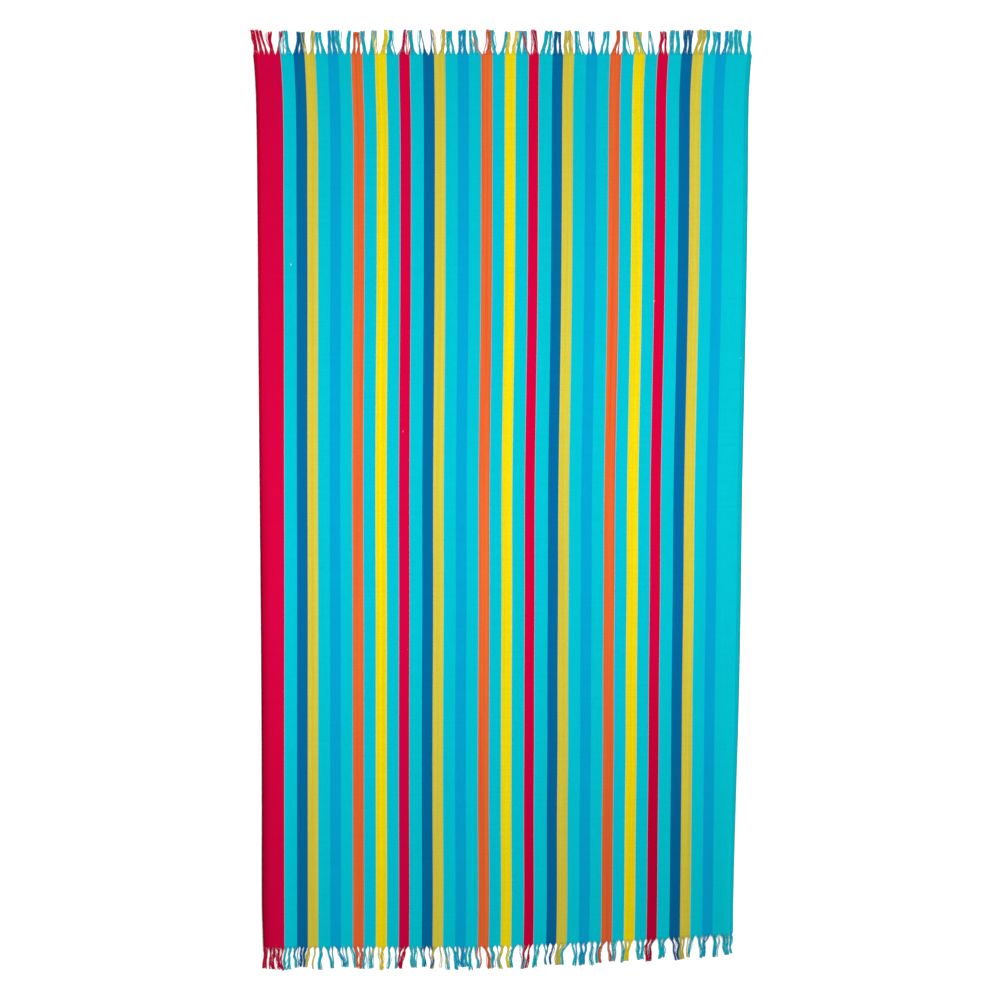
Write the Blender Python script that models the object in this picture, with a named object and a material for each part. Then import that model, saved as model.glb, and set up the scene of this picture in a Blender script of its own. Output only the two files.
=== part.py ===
# A flat-woven beach towel with lengthwise stripes, laid out face up on a level surface.
# Both ends carry a fringe: the warp left loose past the weave and gathered into locks.
# Metres, +Z up, +X across the towel from the crimson band, +Y towards the top end.
# The origin lies on the surface, under the middle of the whole towel.
#
# The weave has flat coordinates of its own: u across from the crimson edge, v up from the bottom end.
# lie() says where each flat point comes to rest, and every piece is placed by it.

import math
import random
from collections import namedtuple

import bmesh
import bpy

# Flat sizes of the weave
WEAVE_WIDTH = 0.900
WEAVE_LENGTH = 1.660
SHEET = 0.0014  # thickness of the woven sheet
HEM_WIDTH = 0.0066  # each long side is folded over twice and stitched
HEM_FOLD = 0.0009  # what the fold adds to the sheet
HEM_EDGE_SHARE = 0.45  # share of the fold left at its rounded outer edge
HEM_ROUND = 0.002  # how far in that edge is rounded
HEM_STEP = 0.0014  # from the stitching down to the single sheet
HEADING = 0.006  # woven strip at each end that holds the fringe's roots
PARTING = 0.0004  # gap between the cloth and each heading
UNDER_SLACK = 0.0007  # a rise lower than this leaves the underside on the surface

# Stripes across the towel, from the left edge
Stripe = namedtuple("Stripe", "yarn width")
REPEATS = 3
REPEAT = [
    Stripe("turquoise", 0.0233),
    Stripe("dark_blue", 0.0197),
    Stripe("olive", 0.0198),
    Stripe("turquoise", 0.0222),
    Stripe("mid_blue", 0.0200),
    Stripe("turquoise", 0.0232),
    Stripe("orange", 0.0196),
    Stripe("turquoise", 0.0233),
    Stripe("yellow", 0.0198),
    Stripe("turquoise", 0.0228),
    Stripe("crimson", 0.0196),
]
TAIL = 5  # stripes of one more repeat, before the right band
LEFT_BAND = 0.0495

# How the weave lies along its length, from the bottom end (0) to the top end (1):
# shift sideways, stretch across, and how far each long edge is drawn in and lifted by its curl.
Section = namedtuple("Section", "along shift stretch left_draw right_draw left_lift right_lift")
SECTIONS = [
    Section(0.00, -0.0068, 1.0030, 0.0092, 0.0065, 0.0054, 0.0046),
    Section(0.05, -0.0064, 1.0027, 0.0070, 0.0067, 0.0062, 0.0054),
    Section(0.17, -0.0053, 1.0018, 0.0069, 0.0040, 0.0072, 0.0040),
    Section(0.28, -0.0043, 1.0008, 0.0062, 0.0004, 0.0064, 0.0014),
    Section(0.40, -0.0024, 1.0010, 0.0046, 0.0000, 0.0052, 0.0002),
    Section(0.51, -0.0014, 1.0008, 0.0033, 0.0000, 0.0042, 0.0000),
    Section(0.62, 0.0001, 1.0024, 0.0024, 0.0000, 0.0018, 0.0000),
    Section(0.73, 0.0016, 1.0040, 0.0017, 0.0000, 0.0008, 0.0000),
    Section(0.84, 0.0024, 1.0046, 0.0014, 0.0000, 0.0003, 0.0000),
    Section(0.95, 0.0029, 1.0042, 0.0000, 0.0000, 0.0000, 0.0000),
    Section(0.985, 0.0031, 1.0100, 0.0000, 0.0000, 0.0000, 0.0000),
    Section(1.00, 0.0032, 1.0150, 0.0000, 0.0000, 0.0000, 0.0000),
]
CURL_CREST = 0.019  # from a curled edge to the top of its curl
CURL_FLANK = 0.036  # how far the curl dies away inwards
DRAW_REACH = 0.048  # width of the band that is drawn in with a curled edge

# The bottom end climbs towards its right corner.
CLIMB_START = 0.400
CLIMB_HEIGHT = 0.0265
CLIMB_CURVE = 1.3
CLIMB_REACH = 0.320  # how far up the weave the climb is felt

# Where the weave has slid sideways: place, half width across and along, and the way it went
Drift = namedtuple("Drift", "u v across along shift")
DRIFTS = [
    Drift(0.190, 0.900, 0.100, 0.340, -0.0027),
    Drift(0.190, 1.610, 0.120, 0.070, -0.0022),
    Drift(0.450, 0.880, 0.140, 0.220, -0.0016),
    Drift(0.700, 0.900, 0.140, 0.200, -0.0011),
    Drift(0.480, 0.080, 0.240, 0.160, 0.0026),
    Drift(0.620, 0.380, 0.160, 0.140, 0.0018),
    Drift(0.840, 0.950, 0.045, 0.450, -0.0013),
]

# Soft rises of the laid cloth: place, half width across and along, and height
Swell = namedtuple("Swell", "u v across along height")
SWELLS = [
    Swell(0.745, 0.150, 0.095, 0.180, 0.0042),
    Swell(0.860, 0.330, 0.070, 0.130, 0.0016),
    Swell(0.130, 0.240, 0.085, 0.200, 0.0015),
    Swell(0.420, 0.120, 0.150, 0.080, 0.0009),
    Swell(0.560, 1.040, 0.120, 0.260, 0.0012),
    Swell(0.250, 0.820, 0.090, 0.240, 0.0010),
    Swell(0.800, 1.330, 0.080, 0.170, 0.0011),
    Swell(0.330, 1.440, 0.140, 0.090, 0.0009),
]

# Grid of the cloth
HEM_COLUMNS = [0.0, HEM_ROUND, 0.0045, HEM_WIDTH, HEM_WIDTH + HEM_STEP]
EDGE_COLUMNS = HEM_COLUMNS + [0.013, CURL_CREST, 0.027, 0.038, 0.057, 0.085]
INNER_COLUMNS = 11
CLOTH_ROWS = 27

# The fringe of each end. outwards is the way its locks point along Y, bends are the distances from
# the heading at which a lock turns before its tip, meeting is how far out the locks of a clump come
# together, and lean is how far a clump's tip strays sideways.
Fringe = namedtuple(
    "Fringe",
    "seed outwards pitch length spread lean first_lean last_lean sway slimmest widest meeting bends",
)
TOP_FRINGE = Fringe(
    seed=11,
    outwards=1,
    pitch=0.0106,
    length=0.0448,
    spread=0.0022,
    lean=0.0065,
    first_lean=-0.0100,
    last_lean=0.0015,
    sway=0.0006,
    slimmest=0.0042,
    widest=0.0080,
    meeting=(0.030, 0.048),
    bends=[0.0065, 0.0160, 0.0300],
)
BOTTOM_FRINGE = Fringe(
    seed=27,
    outwards=-1,
    pitch=0.0088,
    length=0.0448,
    spread=0.0032,
    lean=0.0075,
    first_lean=-0.0030,
    last_lean=-0.0080,
    sway=0.0017,
    slimmest=0.0030,
    widest=0.0058,
    meeting=(0.020, 0.042),
    bends=[0.0065, 0.0170, 0.0290],
)
COUNT_DRAW = (0.15, 0.85)  # rounds the number of locks in a stripe up or down
CLUMP_SIZES = (1, 2, 2, 2, 3)
THIN_SHARE = 0.18  # of the locks are a few yarns only
THIN_LOCK = 0.0013
LOCK_HEIGHT = 0.0019
LOCK_THINNING = 0.15  # how much lower a lock is at its tip
LOCK_NECK = 0.88  # width of a lock at its root, as a share of its width at the tip
UNEVEN_CUT = 0.3  # share of the spread by which the locks of one clump differ in length
LOCKS_APART = 0.0005  # between the locks of one clump
CLUMPS_APART = 0.0016
ROOT_SHARE = 0.84  # share of its pitch that a lock's root takes
THIN_ROOT_SHARE = 0.50
ROOT_FALL = 0.018  # length in which a lock comes down to the surface
SWAY_WAVE = 0.085  # length across the fringe in which the sway comes round again
SWAY_TURNS = 1.1  # waves along one lock

LINEAR_COLOURS = {
    "striped_cotton": (0.0, 0.56, 0.68, 1.0),
    "fringe_cotton": (0.0, 0.50, 0.60, 1.0),
}
COTTON_ROUGHNESS = 0.9


def stripes_across():
    """The stripes from the left edge to the right, with the right band taking what is left."""
    row = [Stripe("crimson", LEFT_BAND)] + REPEAT * REPEATS + REPEAT[:TAIL]
    return row + [Stripe("turquoise", WEAVE_WIDTH - sum(stripe.width for stripe in row))]


def section(along, column):
    """A column of SECTIONS, read smoothly between its rows."""
    marks = [row.along for row in SECTIONS]
    values = [getattr(row, column) for row in SECTIONS]
    last = len(marks) - 1
    along = min(max(along, marks[0]), marks[last])
    i = max(k for k in range(last) if marks[k] <= along)

    def slope(k):
        low, high = max(k - 1, 0), min(k + 1, last)
        return (values[high] - values[low]) / (marks[high] - marks[low])

    span = marks[i + 1] - marks[i]
    t = (along - marks[i]) / span
    rise = values[i + 1] - values[i]
    bend = (1 - t) * (slope(i) * span - rise) - t * (slope(i + 1) * span - rise)
    return values[i] + t * rise + t * (1 - t) * bend


def smooth(t):
    t = min(max(t, 0.0), 1.0)
    return t * t * (3 - 2 * t)


def curl(inwards):
    """Height of a curled edge's crest, as a share of its lift, so far in from the edge."""
    if inwards < CURL_CREST:
        return math.sin(math.pi / 2 * max(inwards, 0.0) / CURL_CREST)
    return math.exp(-(((inwards - CURL_CREST) / CURL_FLANK) ** 2))


def drawn_in(inwards):
    return max(0.0, 1 - inwards / DRAW_REACH) ** 2


def hem(inwards):
    """What the fold adds: less at its rounded edge, and nothing past its stitching."""
    rounded = HEM_EDGE_SHARE + (1 - HEM_EDGE_SHARE) * smooth(inwards / HEM_ROUND)
    return HEM_FOLD * rounded * (1 - smooth((inwards - HEM_WIDTH) / HEM_STEP))


def lie(u, v):
    """Where a flat point comes to rest: x, y, height of the underside and of the top side."""
    along = v / WEAVE_LENGTH
    left, right = u, WEAVE_WIDTH - u
    x = section(along, "shift") + (u - WEAVE_WIDTH / 2) * section(along, "stretch")
    x += section(along, "left_draw") * drawn_in(left)
    x -= section(along, "right_draw") * drawn_in(right)
    for drift in DRIFTS:
        away = ((u - drift.u) / drift.across) ** 2 + ((v - drift.v) / drift.along) ** 2
        x += drift.shift * math.exp(-away)
    reach = max(0.0, u - CLIMB_START) / (WEAVE_WIDTH - CLIMB_START)
    climb = CLIMB_HEIGHT * reach**CLIMB_CURVE * max(0.0, 1 - v / CLIMB_REACH) ** 2
    y = v - WEAVE_LENGTH / 2 + climb
    lift = section(along, "left_lift") * curl(left) + section(along, "right_lift") * curl(right)
    for swell in SWELLS:
        away = ((u - swell.u) / swell.across) ** 2 + ((v - swell.v) / swell.along) ** 2
        lift += swell.height * math.exp(-away)
    return x, y, max(0.0, lift - UNDER_SLACK), lift + SHEET + hem(min(left, right))


def laid_sheet(columns, rows):
    """A bmesh slab through the flat points of columns and rows, with its flat place kept on each vertex."""
    mesh = bmesh.new()
    across = mesh.verts.layers.float.new("across")
    up = mesh.verts.layers.float.new("up")
    level = mesh.verts.layers.float.new("level")
    steps_u, steps_v = len(columns) - 1, len(rows) - 1
    bmesh.ops.create_grid(mesh, x_segments=steps_u, y_segments=steps_v, size=0.5)
    for vert in mesh.verts:
        vert[across] = columns[round((vert.co.x + 0.5) * steps_u)]
        vert[up] = rows[round((vert.co.y + 0.5) * steps_v)]
    raised = bmesh.ops.extrude_face_region(mesh, geom=mesh.faces[:], use_keep_orig=True)["geom"]
    for item in raised:
        if isinstance(item, bmesh.types.BMVert):
            item[level] = 1.0
    for vert in mesh.verts:
        x, y, under, top = lie(vert[across], vert[up])
        vert.co = (x, y, top if vert[level] else under)
    return mesh, across, up, level


def cloth_mesh():
    inner = WEAVE_WIDTH - 2 * EDGE_COLUMNS[-1]
    columns = list(EDGE_COLUMNS)
    columns += [EDGE_COLUMNS[-1] + inner * i / (INNER_COLUMNS + 1) for i in range(1, INNER_COLUMNS + 1)]
    columns += [WEAVE_WIDTH - inwards for inwards in reversed(EDGE_COLUMNS)]
    start = HEADING + PARTING
    reach = WEAVE_LENGTH - 2 * start
    rows = [start + reach * j / CLOTH_ROWS for j in range(CLOTH_ROWS + 1)]
    return laid_sheet(columns, rows)[0]


Lock = namedtuple("Lock", "left right width length middles")


def fringe_edge(fringe):
    return WEAVE_LENGTH if fringe.outwards > 0 else 0.0


def longest(fringe):
    """Length that no lock of the fringe passes."""
    return fringe.length + (1 + UNEVEN_CUT) * fringe.spread


def sway(fringe, x, out):
    """Sideways wave of the locks, shared by neighbours."""
    turn = 2 * math.pi * (x / SWAY_WAVE + SWAY_TURNS * out / fringe.length)
    return fringe.sway * smooth(out / ROOT_FALL) * math.sin(turn)


def half_width(fringe, width, out):
    return width / 2 * (LOCK_NECK + (1 - LOCK_NECK) * out / longest(fringe))


def locks_of(fringe):
    """The locks of one end from left to right. Neighbours lean together into clumps, and none cross."""
    draw = random.Random(fringe.seed)
    roots = []
    start = 0.0
    for stripe in stripes_across():
        count = int(stripe.width / fringe.pitch + draw.uniform(*COUNT_DRAW))
        pitch = stripe.width / count
        for k in range(count):
            thin = draw.random() < THIN_SHARE
            half = pitch * (THIN_ROOT_SHARE if thin else ROOT_SHARE) / 2
            width = THIN_LOCK if thin else draw.uniform(fringe.slimmest, fringe.widest)
            middle = start + pitch * (k + 0.5)
            roots.append((middle - half, middle + half, width))
        start += stripe.width
    clumps = []
    while roots:
        size = min(draw.choice(CLUMP_SIZES), len(roots))
        clumps.append(roots[:size])
        roots = roots[size:]
    stops = fringe.bends + [longest(fringe)]
    taken = [-WEAVE_WIDTH] * len(stops)  # by the locks so far, at each stop
    locks = []
    for number, clump in enumerate(clumps):
        middle = (clump[0][0] + clump[-1][1]) / 2
        lean = draw.uniform(-fringe.lean, fringe.lean)
        if number == 0:
            lean = fringe.first_lean
        if number == len(clumps) - 1:
            lean = fringe.last_lean
        breadth = sum(width for _, _, width in clump) + LOCKS_APART * (len(clump) - 1)
        slot = lie(middle, fringe_edge(fringe))[0] + lean - breadth / 2
        meet = draw.uniform(*fringe.meeting)
        length = fringe.length + draw.uniform(-fringe.spread, fringe.spread)
        apart = CLUMPS_APART
        for left, right, width in clump:
            root = lie((left + right) / 2, fringe_edge(fringe))[0]
            tip = slot + width / 2
            middles = []
            for i, out in enumerate(stops):
                half = half_width(fringe, width, out)
                wanted = root + (tip - root) * min(out / meet, 1.0) + sway(fringe, tip, out)
                middles.append(max(wanted, taken[i] + apart + half))
                taken[i] = middles[i] + half
            reach = length + draw.uniform(-UNEVEN_CUT, UNEVEN_CUT) * fringe.spread
            cut = (reach - stops[-2]) / (stops[-1] - stops[-2])
            middles[-1] = middles[-2] + (middles[-1] - middles[-2]) * cut
            locks.append(Lock(left, right, width, reach, middles))
            slot += width + LOCKS_APART
            apart = LOCKS_APART
    return locks


def lock_sections(fringe, lock):
    """At each stop of a lock: middle, place along the towel, half width, underside and top."""
    _, root_y, under, _ = lie((lock.left + lock.right) / 2, fringe_edge(fringe))
    for middle, out in zip(lock.middles, fringe.bends + [lock.length]):
        low = under * max(0.0, 1 - out / ROOT_FALL) ** 2
        high = low + LOCK_HEIGHT * (1 - LOCK_THINNING * out / fringe.length)
        yield middle, root_y + fringe.outwards * out, half_width(fringe, lock.width, out), low, high


def fringe_mesh(fringe):
    """A narrow heading with its locks drawn out of its front face."""
    locks = locks_of(fringe)
    stops = [0.0] + [stop for lock in locks for stop in (lock.left, lock.right)] + [WEAVE_WIDTH]
    front = fringe_edge(fringe)
    rows = sorted([front, front - fringe.outwards * HEADING])
    mesh, across, up, level = laid_sheet(stops, rows)
    fronts = [
        face
        for face in mesh.faces
        if all(abs(vert[up] - front) < HEADING / 10 for vert in face.verts)
    ]
    fronts.sort(key=lambda face: min(vert[across] for vert in face.verts))
    # Every second front face is a gap, starting with the one at the left edge.
    for lock, face in zip(locks, fronts[1::2]):
        middle = (lock.left + lock.right) / 2
        for x, y, half, low, high in lock_sections(fringe, lock):
            face = bmesh.ops.extrude_discrete_faces(mesh, faces=[face])["faces"][0]
            for vert in face.verts:
                side = -1 if vert[across] < middle else 1
                vert.co = (x + side * half, y, high if vert[level] else low)
    return mesh


def cotton(name):
    material = bpy.data.materials.new(name)
    material.use_nodes = True
    shader = material.node_tree.nodes["Principled BSDF"]
    shader.inputs["Base Color"].default_value = LINEAR_COLOURS[name]
    shader.inputs["Roughness"].default_value = COTTON_ROUGHNESS
    shader.inputs["Metallic"].default_value = 0.0
    material.diffuse_color = LINEAR_COLOURS[name]
    return material


def add_piece(name, mesh, material, collection):
    bmesh.ops.recalc_face_normals(mesh, faces=mesh.faces[:])
    data = bpy.data.meshes.new(name)
    mesh.to_mesh(data)
    mesh.free()
    data.materials.append(material)
    piece = bpy.data.objects.new(name, data)
    collection.objects.link(piece)
    return piece


def centre_on_origin(pieces):
    """Moves the meshes together, so that the middle of the whole towel stands over the origin."""
    points = [vert.co for piece in pieces for vert in piece.data.vertices]
    middle_x = (min(p.x for p in points) + max(p.x for p in points)) / 2
    middle_y = (min(p.y for p in points) + max(p.y for p in points)) / 2
    for point in points:
        point.x -= middle_x
        point.y -= middle_y


def main():
    for old in list(bpy.data.objects):
        bpy.data.objects.remove(old)
    towel = bpy.data.collections.new("beach_towel")
    bpy.context.scene.collection.children.link(towel)
    fringe_cotton = cotton("fringe_cotton")
    pieces = [
        add_piece("cloth", cloth_mesh(), cotton("striped_cotton"), towel),
        add_piece("fringe_top", fringe_mesh(TOP_FRINGE), fringe_cotton, towel),
        add_piece("fringe_bottom", fringe_mesh(BOTTOM_FRINGE), fringe_cotton, towel),
    ]
    centre_on_origin(pieces)


main()
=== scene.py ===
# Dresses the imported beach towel: a striped flat weave with stitched side hems, and a fringe at both ends.
# Metres, +Z up, +X across the towel from its wide crimson band, +Y towards the straighter fringe.
# The weave has flat coordinates of its own: "across" from the crimson edge, "up" from the bottom end.

import math
import random
from bisect import bisect

import bpy
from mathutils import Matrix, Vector, noise


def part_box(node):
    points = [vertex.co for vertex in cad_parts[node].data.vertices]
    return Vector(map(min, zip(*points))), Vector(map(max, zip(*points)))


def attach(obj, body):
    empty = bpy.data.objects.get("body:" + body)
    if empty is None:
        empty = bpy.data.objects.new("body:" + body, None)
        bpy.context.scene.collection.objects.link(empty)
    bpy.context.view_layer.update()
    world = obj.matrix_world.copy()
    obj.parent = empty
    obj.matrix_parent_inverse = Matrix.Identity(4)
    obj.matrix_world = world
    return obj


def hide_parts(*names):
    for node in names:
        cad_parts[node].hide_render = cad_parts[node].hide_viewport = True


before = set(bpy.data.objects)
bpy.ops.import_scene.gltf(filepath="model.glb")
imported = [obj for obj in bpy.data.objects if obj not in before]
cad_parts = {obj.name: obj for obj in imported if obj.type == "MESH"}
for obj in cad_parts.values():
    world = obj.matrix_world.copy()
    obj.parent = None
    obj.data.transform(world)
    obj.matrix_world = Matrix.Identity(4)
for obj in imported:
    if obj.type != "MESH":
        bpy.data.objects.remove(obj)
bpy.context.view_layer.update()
print("loaded the frame")

# ---- how the weave lies, with the same values as its solids ----

weave = {
    "width": 0.900,
    "length": 1.660,
    "thickness": 0.0014,
    "underSlack": 0.0007,  # a rise lower than this leaves the underside on the floor
    "heading": 0.006,  # woven strip at each end that holds the fringe's roots
    "headingGap": 0.00002,
    "headingSteps": 3,
    "warpPitch": 0.00084,  # from one lengthwise yarn to the next
    "weftPitch": 0.00100,
    "dip": 0.32,  # how far a yarn sinks under the ones that cross it, as a share of its height
    "weftRise": 0.82,  # height of a crossing yarn beside a lengthwise one
}

hemFold = {
    "width": 0.0066,
    "height": 0.0009,
    "edgeShare": 0.45,
    "round": 0.002,
    "step": 0.0014,
    "stitchLine": 0.0052,  # from the edge to the stitching
    "pinch": 0.00030,  # how deep the stitching pulls in
    "pinchReach": 0.0009,
}

# share of the length, then these six
lieColumns = ("shift", "stretch", "leftDraw", "rightDraw", "leftLift", "rightLift")
lieSections = [
    (0.00, -0.0068, 1.0030, 0.0092, 0.0065, 0.0054, 0.0046),
    (0.05, -0.0064, 1.0027, 0.0070, 0.0067, 0.0062, 0.0054),
    (0.17, -0.0053, 1.0018, 0.0069, 0.0040, 0.0072, 0.0040),
    (0.28, -0.0043, 1.0008, 0.0062, 0.0004, 0.0064, 0.0014),
    (0.40, -0.0024, 1.0010, 0.0046, 0.0000, 0.0052, 0.0002),
    (0.51, -0.0014, 1.0008, 0.0033, 0.0000, 0.0042, 0.0000),
    (0.62, 0.0001, 1.0024, 0.0024, 0.0000, 0.0018, 0.0000),
    (0.73, 0.0016, 1.0040, 0.0017, 0.0000, 0.0008, 0.0000),
    (0.84, 0.0024, 1.0046, 0.0014, 0.0000, 0.0003, 0.0000),
    (0.95, 0.0029, 1.0042, 0.0000, 0.0000, 0.0000, 0.0000),
    (0.985, 0.0031, 1.0100, 0.0000, 0.0000, 0.0000, 0.0000),
    (1.00, 0.0032, 1.0150, 0.0000, 0.0000, 0.0000, 0.0000),
]
edgeCurl = {"crest": 0.019, "flank": 0.036, "drawReach": 0.048}
cornerClimb = {"start": 0.400, "height": 0.0265, "curve": 1.3, "reach": 0.320}

# across, up, half width across, half width along, slide sideways
drifts = [
    (0.190, 0.900, 0.100, 0.340, -0.0027),
    (0.190, 1.610, 0.120, 0.070, -0.0022),
    (0.450, 0.880, 0.140, 0.220, -0.0016),
    (0.700, 0.900, 0.140, 0.200, -0.0011),
    (0.480, 0.080, 0.240, 0.160, 0.0026),
    (0.620, 0.380, 0.160, 0.140, 0.0018),
    (0.840, 0.950, 0.045, 0.450, -0.0013),
]

# across, up, half width across, half width along, height
swells = [
    (0.745, 0.150, 0.095, 0.180, 0.0042),
    (0.860, 0.330, 0.070, 0.130, 0.0016),
    (0.130, 0.240, 0.085, 0.200, 0.0015),
    (0.420, 0.120, 0.150, 0.080, 0.0009),
    (0.560, 1.040, 0.120, 0.260, 0.0012),
    (0.250, 0.820, 0.090, 0.240, 0.0010),
    (0.800, 1.330, 0.080, 0.170, 0.0011),
    (0.330, 1.440, 0.140, 0.090, 0.0009),
]

# Soft creases, each from one flat point to another: ends, half width, height
creases = [
    ((0.400, 1.6430), (0.880, 1.6420), 0.0030, 0.00060),
    ((0.040, 1.6440), (0.340, 1.6435), 0.0030, 0.00030),
    ((0.520, 0.3150), (0.870, 0.2700), 0.0150, 0.00050),
    ((0.060, 0.5600), (0.300, 0.5450), 0.0160, 0.00035),
]
creaseFade = 0.25  # share of a crease in which each of its ends fades
rumple = {"size": 0.055, "stretch": 2.2, "height": 0.00035}  # slight unevenness of the laid cloth

cadGrid = {"rows": 27, "parting": 0.0004}  # of the solid cloth

stripes = {
    "leftBand": 0.0495,
    "repeats": 3,
    "tail": 5,  # stripes of one more repeat, before the right band
    "repeat": [
        ("turquoise", 0.0233),
        ("darkBlue", 0.0197),
        ("olive", 0.0198),
        ("turquoise", 0.0222),
        ("midBlue", 0.0200),
        ("turquoise", 0.0232),
        ("orange", 0.0196),
        ("turquoise", 0.0233),
        ("yellow", 0.0198),
        ("turquoise", 0.0228),
        ("crimson", 0.0196),
    ],
}
repeatWidth = sum(width for _, width in stripes["repeat"])
tailWidth = sum(width for _, width in stripes["repeat"][: stripes["tail"]])
rightBandStart = stripes["leftBand"] + stripes["repeats"] * repeatWidth + tailWidth

sectionCache = {}


def smooth(t):
    t = min(max(t, 0.0), 1.0)
    return t * t * (3 - 2 * t)


def readSmoothly(marks, values, place):
    # The value at a place, on a smooth line through the values at the marks
    last = len(marks) - 1
    place = min(max(place, marks[0]), marks[last])
    i = max(k for k in range(last) if marks[k] <= place)
    slopes = []
    for k in (i, i + 1):
        low, high = max(k - 1, 0), min(k + 1, last)
        slopes.append((values[high] - values[low]) / (marks[high] - marks[low]))
    span = marks[i + 1] - marks[i]
    t = (place - marks[i]) / span
    rise = values[i + 1] - values[i]
    bend = (1 - t) * (slopes[0] * span - rise) - t * (slopes[1] * span - rise)
    return values[i] + t * rise + t * (1 - t) * bend


def readSections(along):
    # lieSections at a share of the length
    if along not in sectionCache:
        marks = [row[0] for row in lieSections]
        found = {}
        for column, name in enumerate(lieColumns, start=1):
            found[name] = readSmoothly(marks, [row[column] for row in lieSections], along)
        sectionCache[along] = found
    return sectionCache[along]


def curl(inwards):
    if inwards < edgeCurl["crest"]:
        return math.sin(math.pi / 2 * max(inwards, 0.0) / edgeCurl["crest"])
    return math.exp(-(((inwards - edgeCurl["crest"]) / edgeCurl["flank"]) ** 2))


def drawnIn(inwards):
    return max(0.0, 1 - inwards / edgeCurl["drawReach"]) ** 2


def hemHeight(inwards):
    rounded = hemFold["edgeShare"] + (1 - hemFold["edgeShare"]) * smooth(inwards / hemFold["round"])
    fold = hemFold["height"] * rounded * (1 - smooth((inwards - hemFold["width"]) / hemFold["step"]))
    away = (inwards - hemFold["stitchLine"]) / hemFold["pinchReach"]
    return fold - hemFold["pinch"] * math.exp(-(away**2))


def creaseHeight(across, up):
    total = 0.0
    for (startU, startV), (endU, endV), halfWidth, height in creases:
        alongU, alongV = endU - startU, endV - startV
        length = math.hypot(alongU, alongV)
        share = ((across - startU) * alongU + (up - startV) * alongV) / length**2
        away = ((across - startU) * alongV - (up - startV) * alongU) / length
        fade = smooth(share / creaseFade) * smooth((1 - share) / creaseFade)
        total += height * fade * math.exp(-((away / halfWidth) ** 2))
    return total


def bumpsAt(bumps, across, up):
    total = 0.0
    for middleU, middleV, halfAcross, halfAlong, amount in bumps:
        away = ((across - middleU) / halfAcross) ** 2 + ((up - middleV) / halfAlong) ** 2
        total += amount * math.exp(-away)
    return total


def lie(across, up):
    # Where a flat point comes to rest: x, y, height of the underside and of the top side
    section = readSections(up / weave["length"])
    left, right = across, weave["width"] - across
    x = section["shift"] + (across - weave["width"] / 2) * section["stretch"]
    x += section["leftDraw"] * drawnIn(left) - section["rightDraw"] * drawnIn(right)
    x += bumpsAt(drifts, across, up)
    climbing = max(0.0, across - cornerClimb["start"]) / (weave["width"] - cornerClimb["start"])
    fading = max(0.0, 1 - up / cornerClimb["reach"]) ** 2
    y = up - weave["length"] / 2 + cornerClimb["height"] * climbing ** cornerClimb["curve"] * fading
    lift = section["leftLift"] * curl(left) + section["rightLift"] * curl(right)
    lift += bumpsAt(swells, across, up) + creaseHeight(across, up)
    under = max(0.0, lift - weave["underSlack"])
    return x, y, under, lift + weave["thickness"] + hemHeight(min(left, right))


def rumpleHeight(across, up):
    place = Vector((across, up / rumple["stretch"], 0.0)) / rumple["size"]
    return rumple["height"] * noise.noise(place)


def findFrameShift():
    # The solids were moved so that the towel's middle is over the origin: their own box says how far.
    start = weave["heading"] + cadGrid["parting"]
    reach = weave["length"] - 2 * start
    ups = [start + reach * j / cadGrid["rows"] for j in range(cadGrid["rows"] + 1)]
    clothLow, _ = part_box("cloth")
    leftmost = min(lie(0.0, up)[0] for up in ups)
    nearest = start - weave["length"] / 2
    return clothLow[0] - leftmost, clothLow[1] - nearest


frameShift = findFrameShift()
print("towel moved by", [round(part, 5) for part in frameShift])


# ---- building meshes ----

def newBuild():
    return {"points": [], "faces": [], "across": [], "up": [], "skins": [], "turns": []}


def addPoint(build, x, y, z, across, up):
    build["points"].append((x + frameShift[0], y + frameShift[1], z))
    build["across"].append(across)
    build["up"].append(up)


def addFace(build, corners, skin, turns=None):
    build["faces"].append(corners)
    build["skins"].append(skin)
    build["turns"].extend(turns or [(0.0, 0.0)] * len(corners))


edgeTurns = (45.0, 0.0, -45.0)  # degrees, from the top of a rounded edge to its underside


def wovenRing(build, columns, up):
    # One section of the sheet: along its top, round its right edge, back underneath and round its left edge
    under = []
    for across in columns:
        x, y, low, high = lie(across, up)
        addPoint(build, x, y, high + rumpleHeight(across, up), across, up)
        under.append((x, y, low, high, across))
    for edge, side in ((weave["width"], 1), (0.0, -1)):
        x, y, low, high, across = under[-1] if side > 0 else under[0]
        reach = abs(lie(edge, up)[0] - x)
        middle, half = (low + high) / 2, (high - low) / 2
        for degrees in edgeTurns:
            turn = math.radians(degrees * side)
            z = middle + half * math.sin(turn)
            addPoint(build, x + side * reach * math.cos(turn), y, z, edge, up)
        if side > 0:
            for x, y, low, high, across in reversed(under):
                addPoint(build, x, y, low, across, up)


def addSlab(build, columns, rows, skin):
    # A woven sheet with its folded edges, closed all round
    first = len(build["points"])
    for up in rows:
        wovenRing(build, columns, up)
    ring = (len(build["points"]) - first) // len(rows)
    for j in range(len(rows) - 1):
        for k in range(ring):
            a, b = first + j * ring + k, first + j * ring + (k + 1) % ring
            addFace(build, (a, b, b + ring, a + ring), skin)
    last = len(columns) - 1
    for j, facing in ((0, -1), (len(rows) - 1, 1)):
        top = first + j * ring
        under = top + 2 * last + 4  # the underside point below the first top point
        for k in range(last):
            corners = (top + k, under - k, under - k - 1, top + k + 1)
            addFace(build, corners if facing < 0 else corners[::-1], skin)
        right = tuple(range(top + last, top + last + 5))
        left = (*range(under, under + 4), top)
        for corners in (right, left):
            addFace(build, corners[::-1] if facing < 0 else corners, skin)


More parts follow.
